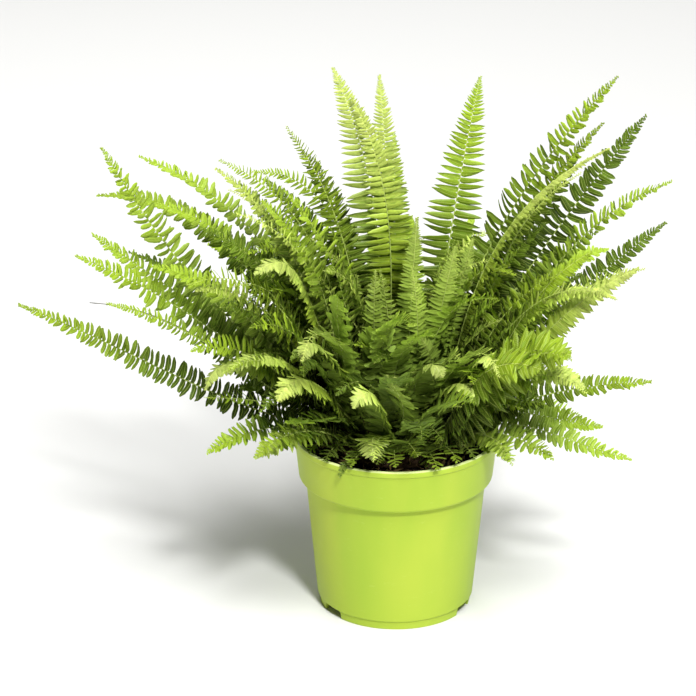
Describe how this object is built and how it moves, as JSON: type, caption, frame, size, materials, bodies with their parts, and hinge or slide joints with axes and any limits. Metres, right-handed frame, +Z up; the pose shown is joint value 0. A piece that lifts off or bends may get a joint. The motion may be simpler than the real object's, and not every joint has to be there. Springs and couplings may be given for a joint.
{
  "type": "potted fern",
  "caption": "Boston fern with arching feathery fronds rising from one clump, in a lime green plastic grow pot filled with soil.",
  "frame": {"origin": "under the middle of the plant's box, on the surface that the pot stands on", "axes": "+Z up, +X to the viewer's right along the widest spread of the fronds, +Y away from the viewer"},
  "size_m": [0.5288, 0.373, 0.4602],
  "materials": {
    "pot": "satin",
    "soil": "matte",
    "crown": "matte",
    "runner": "matte",
    "leaf_young": "satin",
    "leaf": "satin",
    "leaf_old": "satin"
  },
  "bodies": {
    "root": {"crown": "crown", "frond_back_01": "leaf", "frond_back_02": "leaf", "frond_back_03": "leaf", "frond_back_04": "leaf_old", "frond_back_05": "leaf", "frond_back_06": "leaf", "frond_back_07": "leaf", "frond_back_08": "leaf", "frond_back_09": "leaf_young", "frond_back_10": "leaf_old", "frond_back_11": "leaf", "frond_back_12": "leaf", "frond_back_13": "leaf", "frond_front_01": "leaf_young", "frond_front_02": "leaf", "frond_front_03": "leaf_young", "frond_front_04": "leaf_young", "frond_front_05": "leaf", "frond_left_01": "leaf", "frond_left_02": "leaf", "frond_left_03": "leaf", "frond_left_04": "leaf", "frond_left_05": "leaf", "frond_left_06": "leaf", "frond_left_07": "leaf", "frond_left_08": "leaf_young", "frond_left_09": "leaf_old", "frond_left_10": "leaf_young", "frond_left_11": "leaf_young", "frond_left_12": "leaf", "frond_left_13": "leaf_old", "frond_left_14": "leaf_young", "frond_left_15": "leaf_young", "frond_left_16": "leaf", "frond_middle_01": "leaf", "frond_middle_02": "leaf", "frond_middle_03": "leaf_young", "frond_middle_04": "leaf", "frond_middle_05": "leaf", "frond_middle_06": "leaf_young", "frond_middle_07": "leaf_young", "frond_middle_08": "leaf_young", "frond_right_01": "leaf", "frond_right_02": "leaf", "frond_right_03": "leaf_old", "frond_right_04": "leaf_old", "frond_right_05": "leaf", "frond_right_06": "leaf_old", "frond_right_07": "leaf_young", "frond_right_08": "leaf_young", "frond_right_09": "leaf_young", "frond_right_10": "leaf", "frond_right_11": "leaf", "frond_right_12": "leaf", "frond_right_13": "leaf", "pot": "pot", "runner_back": "runner", "runner_left": "runner", "soil": "soil"}
  },
  "joints": []
}
